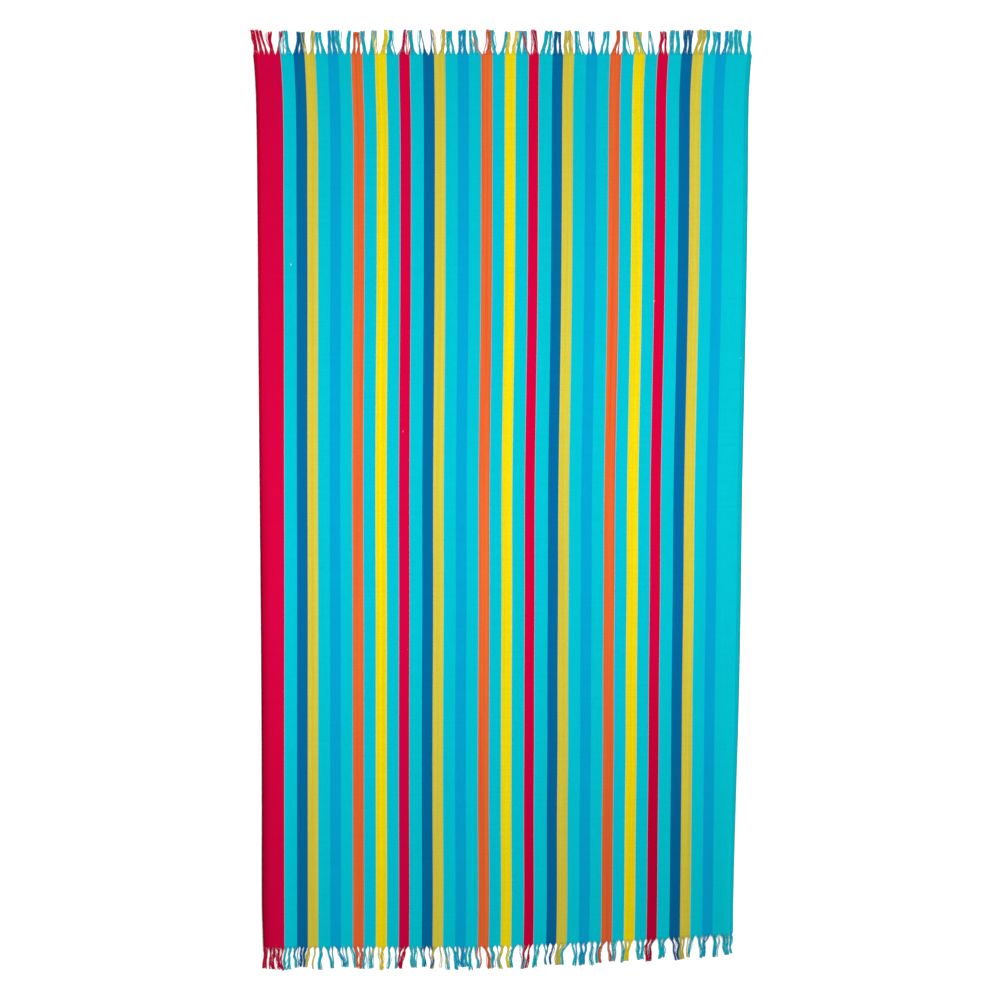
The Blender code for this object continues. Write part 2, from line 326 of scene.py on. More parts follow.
def addTube(build, path, radii, sides, across, skin):
    # A closed yarn along a path of points
    first = len(build["points"])
    along = [0.0]
    for one, other in zip(path, path[1:]):
        along.append(along[-1] + (other - one).length)
    for i, (centre, radius) in enumerate(zip(path, radii)):
        ahead = (path[min(i + 1, len(path) - 1)] - path[max(i - 1, 0)]).normalized()
        sideways = ahead.cross(Vector((0, 0, 1))).normalized()
        upwards = sideways.cross(ahead)
        for k in range(sides):
            turn = 2 * math.pi * k / sides
            point = centre + radius * (math.cos(turn) * sideways + math.sin(turn) * upwards)
            addPoint(build, point.x, point.y, point.z, across, along[i])
    for i in range(len(path) - 1):
        for k in range(sides):
            a, b = first + i * sides + k, first + i * sides + (k + 1) % sides
            near, far = k / sides, (k + 1) / sides
            turns = [(near, along[i]), (near, along[i + 1]), (far, along[i + 1]), (far, along[i])]
            addFace(build, (a, a + sides, b + sides, b), skin, turns)
    addFace(build, tuple(range(first, first + sides)), skin)
    end = len(build["points"])
    addFace(build, tuple(range(end - 1, end - sides - 1, -1)), skin)


sharpEdge = 80.0  # degrees: a sharper edge isn't shaded smooth


def makePiece(name, build, materials):
    mesh = bpy.data.meshes.new(name)
    mesh.from_pydata(build["points"], [], build["faces"])
    for label in ("across", "up"):
        layer = mesh.attributes.new(label, "FLOAT", "POINT")
        layer.data.foreach_set("value", build[label])
    turns = mesh.uv_layers.new(name="turns")
    turns.uv.foreach_set("vector", [part for pair in build["turns"] for part in pair])
    mesh.polygons.foreach_set("material_index", build["skins"])
    mesh.polygons.foreach_set("use_smooth", [True] * len(mesh.polygons))
    mesh.set_sharp_from_angle(angle=math.radians(sharpEdge))
    for material in materials:
        mesh.materials.append(material)
    piece = bpy.data.objects.new(name, mesh)
    bpy.context.scene.collection.objects.link(piece)
    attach(piece, "root")
    triangles = sum(len(face) - 2 for face in build["faces"])
    print(name, triangles, "triangles")
    return piece


# ---- shader groups ----

def join(tree, socket, value):
    if isinstance(value, bpy.types.NodeSocket):
        tree.links.new(value, socket)
    else:
        socket.default_value = value


def sums(tree, operation, *values):
    node = tree.nodes.new("ShaderNodeMath")
    node.operation = operation
    for socket, value in zip(node.inputs, values):
        join(tree, socket, value)
    return node.outputs["Value"]


def newGroup(name, inputs, outputs):
    tree = bpy.data.node_groups.new(name, "ShaderNodeTree")
    for label, value in inputs:
        socket = tree.interface.new_socket(name=label, in_out="INPUT", socket_type="NodeSocketFloat")
        socket.default_value = value
    for label, kind in outputs:
        tree.interface.new_socket(name=label, in_out="OUTPUT", socket_type=kind)
    entry = tree.nodes.new("NodeGroupInput")
    leaving = tree.nodes.new("NodeGroupOutput")
    return tree, entry.outputs, leaving.inputs


def placeGroup(tree, group, **values):
    node = tree.nodes.new("ShaderNodeGroup")
    node.node_tree = group
    for label, value in values.items():
        join(tree, node.inputs[label], value)
    return node.outputs


dye = {
    "light": 1.465,  # how brightly the towel is lit, beside a colour seen at its own value
    "crimson": "e40043",
    "turquoise": "00cdde",
    "darkBlue": "0071aa",
    "olive": "e4d342",
    "midBlue": "00afde",
    "orange": "f66b32",
    "yellow": "fee40b",
}
deepening = {  # how much darker a dye is made towards the lower end
    "crimson": 0.32,
    "turquoise": 0.0,
    "darkBlue": 0.16,
    "olive": 0.08,
    "midBlue": 0.02,
    "orange": 0.12,
    "yellow": 0.04,
}
lowerEndDarkening = {  # towards the lower end, and more so on the right
    "from": -0.22,  # along the towel
    "over": 0.42,
    "leftShare": 0.35,
    "rightFrom": 0.35,  # across it
    "rightOver": 0.45,
}


def linear(code):
    # The linear colour that looks like a hex colour in the light that the towel gets
    parts = []
    for i in (0, 2, 4):
        share = int(code[i:i + 2], 16) / 255
        share = share / 12.92 if share <= 0.04045 else ((share + 0.055) / 1.055) ** 2.4
        parts.append(share / dye["light"])
    return (*parts, 1.0)


def ramped(tree, value, start, length):
    # 0 at the start, 1 from a length further on
    share = sums(tree, "DIVIDE", sums(tree, "SUBTRACT", value, start), length)
    return sums(tree, "MINIMUM", sums(tree, "MAXIMUM", share, 0.0), 1.0)


def mixedColour(tree, share, first, second):
    node = tree.nodes.new("ShaderNodeMix")
    node.data_type = "RGBA"
    tree.links.new(share, node.inputs["Factor"])
    tree.links.new(first, node.inputs["A"])
    node.inputs["B"].default_value = second
    return node.outputs["Result"]


def stripeColours():
    # The colour of the lengthwise yarn that lies there
    tree, given, out = newGroup(
        "stripeColours",
        [("Across", 0.0), ("YarnPitch", weave["warpPitch"])],
        [("Color", "NodeSocketColor")],
    )
    yarn = sums(tree, "FLOOR", sums(tree, "DIVIDE", given["Across"], given["YarnPitch"]))
    place = sums(tree, "MULTIPLY", sums(tree, "ADD", yarn, 0.5), given["YarnPitch"])
    turns = sums(tree, "DIVIDE", sums(tree, "SUBTRACT", place, stripes["leftBand"]), repeatWidth)
    ramp = tree.nodes.new("ShaderNodeValToRGB")
    ramp.color_ramp.interpolation = "CONSTANT"
    marks = ramp.color_ramp.elements
    start = 0.0
    for number, (name, width) in enumerate(stripes["repeat"]):
        mark = marks[number] if number < 2 else marks.new(start)
        mark.position = start
        mark.color = (*linear(dye[name])[:3], deepening[name])
        start += width / repeatWidth
    tree.links.new(sums(tree, "FRACT", turns), ramp.inputs["Fac"])
    bands = (
        (sums(tree, "LESS_THAN", place, stripes["leftBand"]), "crimson"),
        (sums(tree, "GREATER_THAN", place, rightBandStart), "turquoise"),
    )
    colour = ramp.outputs["Color"]
    deeper = ramp.outputs["Alpha"]
    for mask, name in bands:
        colour = mixedColour(tree, mask, colour, linear(dye[name]))
        change = sums(tree, "SUBTRACT", deepening[name], deeper)
        deeper = sums(tree, "MULTIPLY_ADD", change, mask, deeper)
    # Each dye is made darker by its deepening towards the lower end, and more so on the right
    spot = tree.nodes.new("ShaderNodeTexCoord")
    parts = tree.nodes.new("ShaderNodeSeparateXYZ")
    tree.links.new(spot.outputs["Object"], parts.inputs["Vector"])
    low = ramped(tree, parts.outputs["Y"], lowerEndDarkening["from"], -lowerEndDarkening["over"])
    right = ramped(tree, given["Across"], lowerEndDarkening["rightFrom"], lowerEndDarkening["rightOver"])
    side = sums(tree, "MULTIPLY_ADD", right, 1 - lowerEndDarkening["leftShare"], lowerEndDarkening["leftShare"])
    deeper = sums(tree, "MULTIPLY", sums(tree, "MULTIPLY", deeper, low), side)
    tree.links.new(mixedColour(tree, deeper, colour, (0.0, 0.0, 0.0, 1.0)), out["Color"])
    return tree


def flatWeave():
    # Plain weave: each yarn rises over one crossing yarn and dips under the next
    tree, given, out = newGroup(
        "flatWeave",
        [("Across", 0.0), ("Up", 0.0), ("WarpPitch", weave["warpPitch"]),
         ("WeftPitch", weave["weftPitch"])],
        [("Height", "NodeSocketFloat"), ("Weft", "NodeSocketFloat")],
    )
    warp = sums(tree, "DIVIDE", given["Across"], given["WarpPitch"])
    weft = sums(tree, "DIVIDE", given["Up"], given["WeftPitch"])

    def yarnHeight(own, crossing, offset):
        rounded = sums(tree, "SINE", sums(tree, "MULTIPLY", sums(tree, "FRACT", own), math.pi))
        phase = sums(tree, "ADD", sums(tree, "ADD", crossing, sums(tree, "FLOOR", own)), offset)
        wave = sums(tree, "COSINE", sums(tree, "MULTIPLY", phase, math.pi))
        rise = sums(tree, "MULTIPLY_ADD", wave, weave["dip"], 1 - weave["dip"])
        return sums(tree, "MULTIPLY", rounded, rise)

    warpHeight = yarnHeight(warp, weft, 0.5)
    weftHeight = sums(tree, "MULTIPLY", yarnHeight(weft, warp, -0.5), weave["weftRise"])
    tree.links.new(sums(tree, "MAXIMUM", warpHeight, weftHeight), out["Height"])
    tree.links.new(sums(tree, "GREATER_THAN", weftHeight, warpHeight), out["Weft"])
    return tree


clouds = {  # how often each changes across and along, and how finely
    "streak": (0.13, 2.2, 3.0),
    "slub": (1.7, 45.0, 1.0),
    "bar": (12.0, 0.45, 1.0),
}


def cottonTone():
    # Unevenness of dyed cotton: from yarn to yarn, in longer streaks, slubs along a yarn, and bars of weft
    tree, given, out = newGroup(
        "cottonTone",
        [("Across", 0.0), ("Up", 0.0), ("YarnPitch", weave["warpPitch"]), ("WeftPitch", weave["weftPitch"]),
         ("Yarns", 0.06), ("Streaks", 0.22), ("Slubs", 0.14), ("Bars", 0.12)],
        [("Tone", "NodeSocketFloat"), ("Drift", "NodeSocketFloat")],
    )
    yarn = sums(tree, "FLOOR", sums(tree, "DIVIDE", given["Across"], given["YarnPitch"]))
    own = tree.nodes.new("ShaderNodeTexWhiteNoise")
    own.noise_dimensions = "1D"
    tree.links.new(yarn, own.inputs["W"])

    def drawnCloud(kind, crosswise, lengthwise):
        acrossScale, upScale, detail = clouds[kind]
        place = tree.nodes.new("ShaderNodeCombineXYZ")
        tree.links.new(sums(tree, "MULTIPLY", crosswise, acrossScale), place.inputs["X"])
        tree.links.new(sums(tree, "MULTIPLY", lengthwise, upScale), place.inputs["Y"])
        cloud = tree.nodes.new("ShaderNodeTexNoise")
        cloud.inputs["Scale"].default_value = 1.0
        cloud.inputs["Detail"].default_value = detail
        tree.links.new(place.outputs["Vector"], cloud.inputs["Vector"])
        return sums(tree, "SUBTRACT", cloud.outputs["Fac"], 0.5)

    weft = sums(tree, "FLOOR", sums(tree, "DIVIDE", given["Up"], given["WeftPitch"]))
    streak = drawnCloud("streak", yarn, given["Up"])
    slub = drawnCloud("slub", yarn, given["Up"])
    bar = drawnCloud("bar", given["Across"], weft)
    single = sums(tree, "SUBTRACT", own.outputs["Value"], 0.5)
    tone = 1.0
    for change, label in ((single, "Yarns"), (streak, "Streaks"), (slub, "Slubs"), (bar, "Bars")):
        tone = sums(tree, "MULTIPLY_ADD", change, given[label], tone)
    tree.links.new(tone, out["Tone"])
    tree.links.new(sums(tree, "ADD", streak, sums(tree, "MULTIPLY", single, 0.5)), out["Drift"])
    return tree


def twistedPly():
    # Plies that wind round a yarn
    tree, given, out = newGroup(
        "twistedPly",
        [("Around", 0.0), ("Along", 0.0), ("Plies", 3.0), ("PlyPitch", 0.0024)],
        [("Height", "NodeSocketFloat")],
    )
    turn = sums(tree, "ADD", given["Around"], sums(tree, "DIVIDE", given["Along"], given["PlyPitch"]))
    wave = sums(tree, "SINE", sums(tree, "MULTIPLY", sums(tree, "MULTIPLY", turn, given["Plies"]), math.pi))
    tree.links.new(sums(tree, "ABSOLUTE", wave), out["Height"])
    return tree


def hemShade():
    # Painted shade in the hollow of the stitching, on the folded side, at each rim, where the fold turns
    # under, and on the curled left edge towards the lower end
    tree, given, out = newGroup(
        "hemShade",
        [("Across", 0.0), ("Width", weave["width"]), ("Line", hemFold["width"]), ("Reach", 0.001),
         ("LeftReach", 0.0085), ("RightReach", 0.0060), ("Up", 0.0), ("CurlReach", 0.022),
         ("CurlEnd", 1.15), ("CurlFade", 0.45)],
        [("Hollow", "NodeSocketFloat"), ("Fold", "NodeSocketFloat"), ("LeftRim", "NodeSocketFloat"),
         ("RightRim", "NodeSocketFloat"), ("Curl", "NodeSocketFloat")],
    )
    fromRight = sums(tree, "SUBTRACT", given["Width"], given["Across"])
    inwards = sums(tree, "MINIMUM", given["Across"], fromRight)
    away = sums(tree, "ABSOLUTE", sums(tree, "SUBTRACT", inwards, given["Line"]))
    hollow = sums(tree, "SUBTRACT", 1.0, sums(tree, "DIVIDE", away, given["Reach"]))
    tree.links.new(sums(tree, "MAXIMUM", hollow, 0.0), out["Hollow"])
    tree.links.new(sums(tree, "LESS_THAN", inwards, given["Line"]), out["Fold"])
    for place, reach, label in (
        (given["Across"], given["LeftReach"], "LeftRim"),
        (fromRight, given["RightReach"], "RightRim"),
    ):
        rim = sums(tree, "SUBTRACT", 1.0, sums(tree, "DIVIDE", place, reach))
        tree.links.new(sums(tree, "MAXIMUM", rim, 0.0), out[label])
    near = sums(tree, "SUBTRACT", 1.0, sums(tree, "DIVIDE", given["Across"], given["CurlReach"]))
    below = sums(tree, "DIVIDE", sums(tree, "SUBTRACT", given["CurlEnd"], given["Up"]), given["CurlFade"])
    below = sums(tree, "MINIMUM", sums(tree, "MAXIMUM", below, 0.0), 1.0)
    tree.links.new(sums(tree, "MULTIPLY", sums(tree, "MAXIMUM", near, 0.0), below), out["Curl"])
    return tree


groups = {
    "stripes": stripeColours(),
    "weave": flatWeave(),
    "tone": cottonTone(),
    "ply": twistedPly(),
    "hem": hemShade(),
}
print("shader groups ready")


# ---- materials ----

def newMaterial(name, settings):
    material = bpy.data.materials.new(name)
    material.use_nodes = True
    tree = material.node_tree
    shader = tree.nodes["Principled BSDF"]
    for label, value in settings.items():
        shader.inputs[label].default_value = value
    return material, tree, shader


def attribute(tree, name):
    node = tree.nodes.new("ShaderNodeAttribute")
    node.attribute_name = name
    return node.outputs["Fac"]


sameHue = 0.5  # the setting that leaves a hue as it is


def shaded(tree, colour, hue, value):
    node = tree.nodes.new("ShaderNodeHueSaturation")
    join(tree, node.inputs["Color"], colour)
    join(tree, node.inputs["Hue"], hue)
    join(tree, node.inputs["Value"], value)
    return node.outputs["Color"]


def bumped(tree, height, strength, distance):
    node = tree.nodes.new("ShaderNodeBump")
    node.inputs["Strength"].default_value = strength
    node.inputs["Distance"].default_value = distance
    tree.links.new(height, node.inputs["Height"])
    return node.outputs["Normal"]


cotton = {
    "finish": {
        "Roughness": 0.95,
        "Specular IOR Level": 0.02,
    },
    "leastRoughness": 0.85,
    "grooveRoughness": 0.10,  # what the grooves add
    "yarnRoughness": 0.20,
    "reliefStrength": 0.7,
    "weaveRelief": 0.00028,
    "plyRelief": 0.00012,
    "grooveShade": 0.22,  # how much darker it is between the yarns
    "weftShade": 0.10,
    "hollowShade": 0.08,
    "foldShade": 0.03,
    "plyShade": 0.16,
    "yarnShade": 0.10,
    "rootFade": 0.012,  # from the weave to where a loose yarn has these two in full
    "leftRimShade": 0.50,
    "rightRimShade": 0.34,
    "curlShade": 0.18,
    "drift": 0.022,  # of the hue
    "looseUnevenness": {"Yarns": 0.10, "Streaks": 0.06, "Slubs": 0.10, "Bars": 0.0},
}


# Base colour: the dye with its unevenness, darkened by the painted shade in dark
def dyeAndShadeCotton(tree, shader, dyed, uneven, dark):
    value = sums(tree, "MULTIPLY", uneven["Tone"], sums(tree, "SUBTRACT", 1.0, dark))
    hue = sums(tree, "MULTIPLY_ADD", uneven["Drift"], cotton["drift"], sameHue)
    tree.links.new(shaded(tree, dyed["Color"], hue, value), shader.inputs["Base Color"])


def roughenCotton(tree, shader, mask, share, height, relief):
    rough = sums(tree, "MULTIPLY_ADD", mask, cotton[share], cotton["leastRoughness"])
    tree.links.new(rough, shader.inputs["Roughness"])
    normal = bumped(tree, height, cotton["reliefStrength"], cotton[relief])
    tree.links.new(normal, shader.inputs["Normal"])


def stripedCotton():
    material, tree, shader = newMaterial("stripedCotton", cotton["finish"])
    across, up = attribute(tree, "across"), attribute(tree, "up")
    dyed = placeGroup(tree, groups["stripes"], Across=across)
    woven = placeGroup(tree, groups["weave"], Across=across, Up=up)
    uneven = placeGroup(tree, groups["tone"], Across=across, Up=up)
    fold = placeGroup(tree, groups["hem"], Across=across, Up=up)
    groove = sums(tree, "SUBTRACT", 1.0, woven["Height"])
    dark = sums(tree, "MULTIPLY", groove, cotton["grooveShade"])
    masks = (
        (woven["Weft"], "weftShade"),
        (fold["Hollow"], "hollowShade"),
        (fold["Fold"], "foldShade"),
        (fold["LeftRim"], "leftRimShade"),
        (fold["RightRim"], "rightRimShade"),
        (fold["Curl"], "curlShade"),
    )
    for mask, shade in masks:
        dark = sums(tree, "MULTIPLY_ADD", mask, cotton[shade], dark)
    dyeAndShadeCotton(tree, shader, dyed, uneven, dark)
    roughenCotton(tree, shader, groove, "grooveRoughness", woven["Height"], "weaveRelief")
    return material


def looseYarn():
    material, tree, shader = newMaterial("looseYarn", cotton["finish"])
    across, up = attribute(tree, "across"), attribute(tree, "up")
    turns = tree.nodes.new("ShaderNodeUVMap")
    turns.uv_map = "turns"
    parts = tree.nodes.new("ShaderNodeSeparateXYZ")
    tree.links.new(turns.outputs["UV"], parts.inputs["Vector"])
    dyed = placeGroup(tree, groups["stripes"], Across=across)
    uneven = placeGroup(tree, groups["tone"], Across=across, Up=up, **cotton["looseUnevenness"])
    plies = placeGroup(tree, groups["ply"], Around=parts.outputs["X"], Along=parts.outputs["Y"])
    groove = sums(tree, "SUBTRACT", 1.0, plies["Height"])
    dark = sums(tree, "MULTIPLY_ADD", groove, cotton["plyShade"], cotton["yarnShade"])
    settled = sums(tree, "MINIMUM", sums(tree, "DIVIDE", up, cotton["rootFade"]), 1.0)
    dark = sums(tree, "MULTIPLY", dark, settled)
    dyeAndShadeCotton(tree, shader, dyed, uneven, dark)
    roughenCotton(tree, shader, dark, "yarnRoughness", plies["Height"], "plyRelief")
    return material


wovenMaterial = stripedCotton()
yarnMaterial = looseYarn()
print("materials ready")


# ---- the cloth ----

clothGrid = {
    "edgeColumns": [
        0.0009, 0.0015, 0.0022, 0.0031, 0.0039, 0.0044, 0.0048, 0.0052, 0.0056, 0.0060, 0.0066,
        0.0070, 0.0074, 0.0078, 0.0084, 0.0095, 0.0110, 0.0130, 0.0155, 0.0180, 0.0210, 0.0245,
        0.0285, 0.0330, 0.0380, 0.0440, 0.0510, 0.0590, 0.0680,
    ],
    "innerPitch": 0.0095,
    "rowPitch": 0.0085,
    "endRows": [0.0, 0.003, 0.006, 0.008, 0.010, 0.012, 0.014, 0.016, 0.019, 0.023, 0.028],  # from each end
}


def clothColumns():
    edge = clothGrid["edgeColumns"]
    inner = weave["width"] - 2 * edge[-1]
    steps = round(inner / clothGrid["innerPitch"])
    middle = [edge[-1] + inner * i / steps for i in range(1, steps)]
    return edge + middle + [weave["width"] - across for across in reversed(edge)]


def clothRows():
    start = weave["heading"] + weave["headingGap"]
    near = [start + step for step in clothGrid["endRows"]]
    far = [weave["length"] - up for up in reversed(near)]
    reach = far[0] - near[-1]
    steps = round(reach / clothGrid["rowPitch"])
    return near + [near[-1] + reach * j / steps for j in range(1, steps)] + far


columns = clothColumns()
build = newBuild()
addSlab(build, columns, clothRows(), 0)
cloth = makePiece("wovenCloth", build, [wovenMaterial])
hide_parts("cloth")


# ---- the stitching of the side hems ----

stitch = {
    "pitch": 0.0036,
    "length": 0.0028,
    "radius": 0.00024,
    "proud": 0.00016,  # how far the middle of a stitch stands out of the cloth
    "sunk": 0.00030,  # how deep its ends go in
    "sides": 5,
    "stops": [0.0, 0.2, 0.5, 0.8, 1.0],
    "slant": 0.00025,
    "skip": (0.0002, 0.0005),  # how far into its pitch a stitch starts
    "waver": 0.00004,
    "seed": 41,
}


def addStitches(build, across):
    draw = random.Random(stitch["seed"])
    count = int((weave["length"] - 2 * weave["heading"]) / stitch["pitch"])
    for number in range(count):
        start = weave["heading"] + number * stitch["pitch"] + draw.uniform(*stitch["skip"])
        path = []
        for share in stitch["stops"]:
            up = start + share * stitch["length"]
            waver = draw.uniform(-stitch["waver"], stitch["waver"])
            lean = across + (share - 0.5) * stitch["slant"] + waver
            x, y, _, top = lie(lean, up)
            rise = math.sin(math.pi * share) * (stitch["proud"] + stitch["sunk"]) - stitch["sunk"]
            path.append(Vector((x, y, top + rumpleHeight(lean, up) + rise)))
        addTube(build, path, [stitch["radius"]] * len(path), stitch["sides"], across, 0)


build = newBuild()
addStitches(build, hemFold["stitchLine"])
addStitches(build, weave["width"] - hemFold["stitchLine"])
stitching = makePiece("hemStitching", build, [yarnMaterial])


# ---- the fringes ----

# What both ends share, with the same values as their solids
lockShape = {
    "countDraw": (0.15, 0.85),
    "clumpSizes": (1, 2, 2, 2, 3),
    "thinShare": 0.18,
    "thin": 0.0013,
    "height": 0.0019,
    "thinning": 0.15,
    "neck": 0.88,
    "unevenCut": 0.3,
    "apart": 0.0005,
    "clumpsApart": 0.0016,
    "rootShare": 0.84,
    "thinRootShare": 0.50,
    "rootFall": 0.018,
    "swayWave": 0.085,
    "swayTurns": 1.1,
}

# The lines from "twist" on are for the yarns alone.
fringeTop = {
    "piece": "fringeTop",
    "node": "fringe_top",
    "seed": 11,
    "outwards": 1,
    "pitch": 0.0106,
    "length": 0.0448,
    "spread": 0.0022,
    "lean": 0.0065,
    "firstLean": -0.0100,
    "lastLean": 0.0015,
    "sway": 0.0006,
    "slimmest": 0.0042,
    "widest": 0.0080,
    "meeting": (0.030, 0.048),
    "bends": [0.0065, 0.0160, 0.0300],
    "twist": (0.2, 0.7),  # turns from the weave to the tip
    "gather": (0.0120, 0.0190),  # length in which the yarns come together
    "waist": 0.12,
    "flare": (-0.25, 0.40),  # how much wider or narrower a lock is at its tip
    "fork": (-0.0018, 0.0012),  # how far the halves of a lock part at its tip, if at all
    "kink": 0.0013,
    "raggedness": 0.05,  # of the cut, as a share of the length
    "looseShare": 0.08,
    "looseReach": 0.0052,
}
fringeBottom = {
    "piece": "fringeBottom",
    "node": "fringe_bottom",
    "seed": 27,
    "outwards": -1,
    "pitch": 0.0088,
    "length": 0.0448,
    "spread": 0.0032,
    "lean": 0.0075,
    "firstLean": -0.0030,
    "lastLean": -0.0080,
    "sway": 0.0017,
    "slimmest": 0.0030,
    "widest": 0.0058,
    "meeting": (0.020, 0.042),
    "bends": [0.0065, 0.0170, 0.0290],
    "twist": (0.6, 1.4),
    "gather": (0.0090, 0.0150),
    "waist": 0.14,
    "flare": (-0.20, 0.30),
    "fork": (-0.0014, 0.0014),
    "kink": 0.0017,
    "raggedness": 0.05,
    "looseShare": 0.15,
    "looseReach": 0.0040,
}
yarnShape = {
    "sides": 5,
    "stops": 15,
    "crowding": 1.15,  # the stops lie closer near the weave
    "fill": 1.30,  # how much of a lock's width its upper yarns fill
    "thinnest": 0.00038,
    "thickest": 0.00056,
    "coreShare": 0.28,  # of a lock's yarns run inside it
    "coreReach": 0.45,
    "rootIn": 0.0009,  # a yarn starts so far inside the heading
    "rootSunk": 0.00004,
    "gatherCurve": 2.2,  # they draw together fast at first
    "joinedGather": 2.0,  # how much later it parts from a lock of its own clump
    "stray": 0.0011,  # how far from its own place a yarn may join a lock
    "wave": 0.00016,
    "waveLength": (0.008, 0.016),
    "kinkAt": (0.35, 0.65),  # shares of a yarn's length, as are the next five
    "kinkReach": 0.22,
    "waistAt": (0.35, 0.60),
    "waistReach": 0.2,
    "tipFrom": 0.55,  # where a lock starts to flare and fork
    "tipOver": 0.45,
    "looseLeast": 0.3,  # of its reach
    "looseBow": (0.5, 1.0),  # half of a bow, or a bow that comes back
    "tipTaper": 0.7,
    "seedStep": 500,
}


def endOf(fringe):
    return weave["length"] if fringe["outwards"] > 0 else 0.0


def longestOf(fringe):
    return fringe["length"] + (1 + lockShape["unevenCut"]) * fringe["spread"]


def stripesAcross():
    row = [("crimson", stripes["leftBand"])] + stripes["repeat"] * stripes["repeats"]
    row += stripes["repeat"][: stripes["tail"]]
    return row + [("turquoise", weave["width"] - sum(width for _, width in row))]


def swayAt(fringe, x, out):
    turn = 2 * math.pi * (x / lockShape["swayWave"] + lockShape["swayTurns"] * out / fringe["length"])
    return fringe["sway"] * smooth(out / lockShape["rootFall"]) * math.sin(turn)


def halfWidth(fringe, width, out):
    return width / 2 * (lockShape["neck"] + (1 - lockShape["neck"]) * out / longestOf(fringe))


def locksOf(fringe):
    # The locks from left to right. Neighbours lean together into clumps.
    draw = random.Random(fringe["seed"])
    roots = []
    start = 0.0
    for _, stripeWidth in stripesAcross():
        count = int(stripeWidth / fringe["pitch"] + draw.uniform(*lockShape["countDraw"]))
        pitch = stripeWidth / count
        for k in range(count):
            isThin = draw.random() < lockShape["thinShare"]
            half = pitch * lockShape["thinRootShare" if isThin else "rootShare"] / 2
            width = lockShape["thin"] if isThin else draw.uniform(fringe["slimmest"], fringe["widest"])
            middle = start + pitch * (k + 0.5)
            roots.append((middle - half, middle + half, width))
        start += stripeWidth
    clumps = []
    while roots:
        size = min(draw.choice(lockShape["clumpSizes"]), len(roots))
        clumps.append(roots[:size])
        roots = roots[size:]
    stops = fringe["bends"] + [longestOf(fringe)]
    taken = [-weave["width"]] * len(stops)
    locks = []
    for number, clump in enumerate(clumps):
        middle = (clump[0][0] + clump[-1][1]) / 2
        lean = draw.uniform(-fringe["lean"], fringe["lean"])
        if number == 0:
            lean = fringe["firstLean"]
        if number == len(clumps) - 1:
            lean = fringe["lastLean"]
        breadth = sum(width for _, _, width in clump) + lockShape["apart"] * (len(clump) - 1)
        slot = lie(middle, endOf(fringe))[0] + lean - breadth / 2
        meet = draw.uniform(*fringe["meeting"])
        length = fringe["length"] + draw.uniform(-fringe["spread"], fringe["spread"])
        apart = lockShape["clumpsApart"]
        for k, (left, right, width) in enumerate(clump):
            root = lie((left + right) / 2, endOf(fringe))
            tip = slot + width / 2
            places = [root[0]]
            for i, out in enumerate(stops):
                half = halfWidth(fringe, width, out)
                wanted = root[0] + (tip - root[0]) * min(out / meet, 1.0) + swayAt(fringe, tip, out)
                places.append(max(wanted, taken[i] + apart + half))
                taken[i] = places[-1] + half
            cut = draw.uniform(-lockShape["unevenCut"], lockShape["unevenCut"]) * fringe["spread"]
            lock = {"left": left, "right": right, "width": width, "length": length + cut}
            lock.update(rootY=root[1], under=root[2], marks=[0.0] + stops, places=places)
            lock["joined"] = (k > 0, k < len(clump) - 1)  # to a neighbour on the left, on the right
            locks.append(lock)
            slot += width + lockShape["apart"]
            apart = lockShape["apart"]
    return locks


def lockSection(fringe, lock, out):
    # Middle, half width, underside and top of a lock, so far out from the weave
    x = readSmoothly(lock["marks"], lock["places"], out)
    low = lock["under"] * max(0.0, 1 - out / lockShape["rootFall"]) ** 2
    high = low + lockShape["height"] * (1 - lockShape["thinning"] * out / fringe["length"])
    return x, halfWidth(fringe, lock["width"], out), low, high


def shareYarns(locks, draw):
    # Every lengthwise yarn of the weave goes into the lock that it is nearest to, give or take its stray
    borders = []
    for one, other in zip(locks, locks[1:]):
        middles = [(lock["left"] + lock["right"]) / 2 for lock in (one, other)]
        share = one["width"] / (one["width"] + other["width"])
        borders.append(middles[0] + (middles[1] - middles[0]) * share)
    shared = [[] for _ in locks]
    for k in range(int(weave["width"] / weave["warpPitch"])):
        across = (k + 0.5) * weave["warpPitch"]
        strayed = across + draw.uniform(-1, 1) * yarnShape["stray"]
        shared[bisect(borders, strayed)].append(across)
    return shared


def bundleSpots(count, start):
    # Places in a unit circle from left to right: most of them round it, the others inside
    inside = int(count * yarnShape["coreShare"])
    spots = []
    for number, reach in ((count - inside, 1.0), (inside, yarnShape["coreReach"])):
        for k in range(number):
            turn = start + 2 * math.pi * k / number
            spots.append((reach * math.cos(turn), reach * math.sin(turn)))
    return sorted(spots)


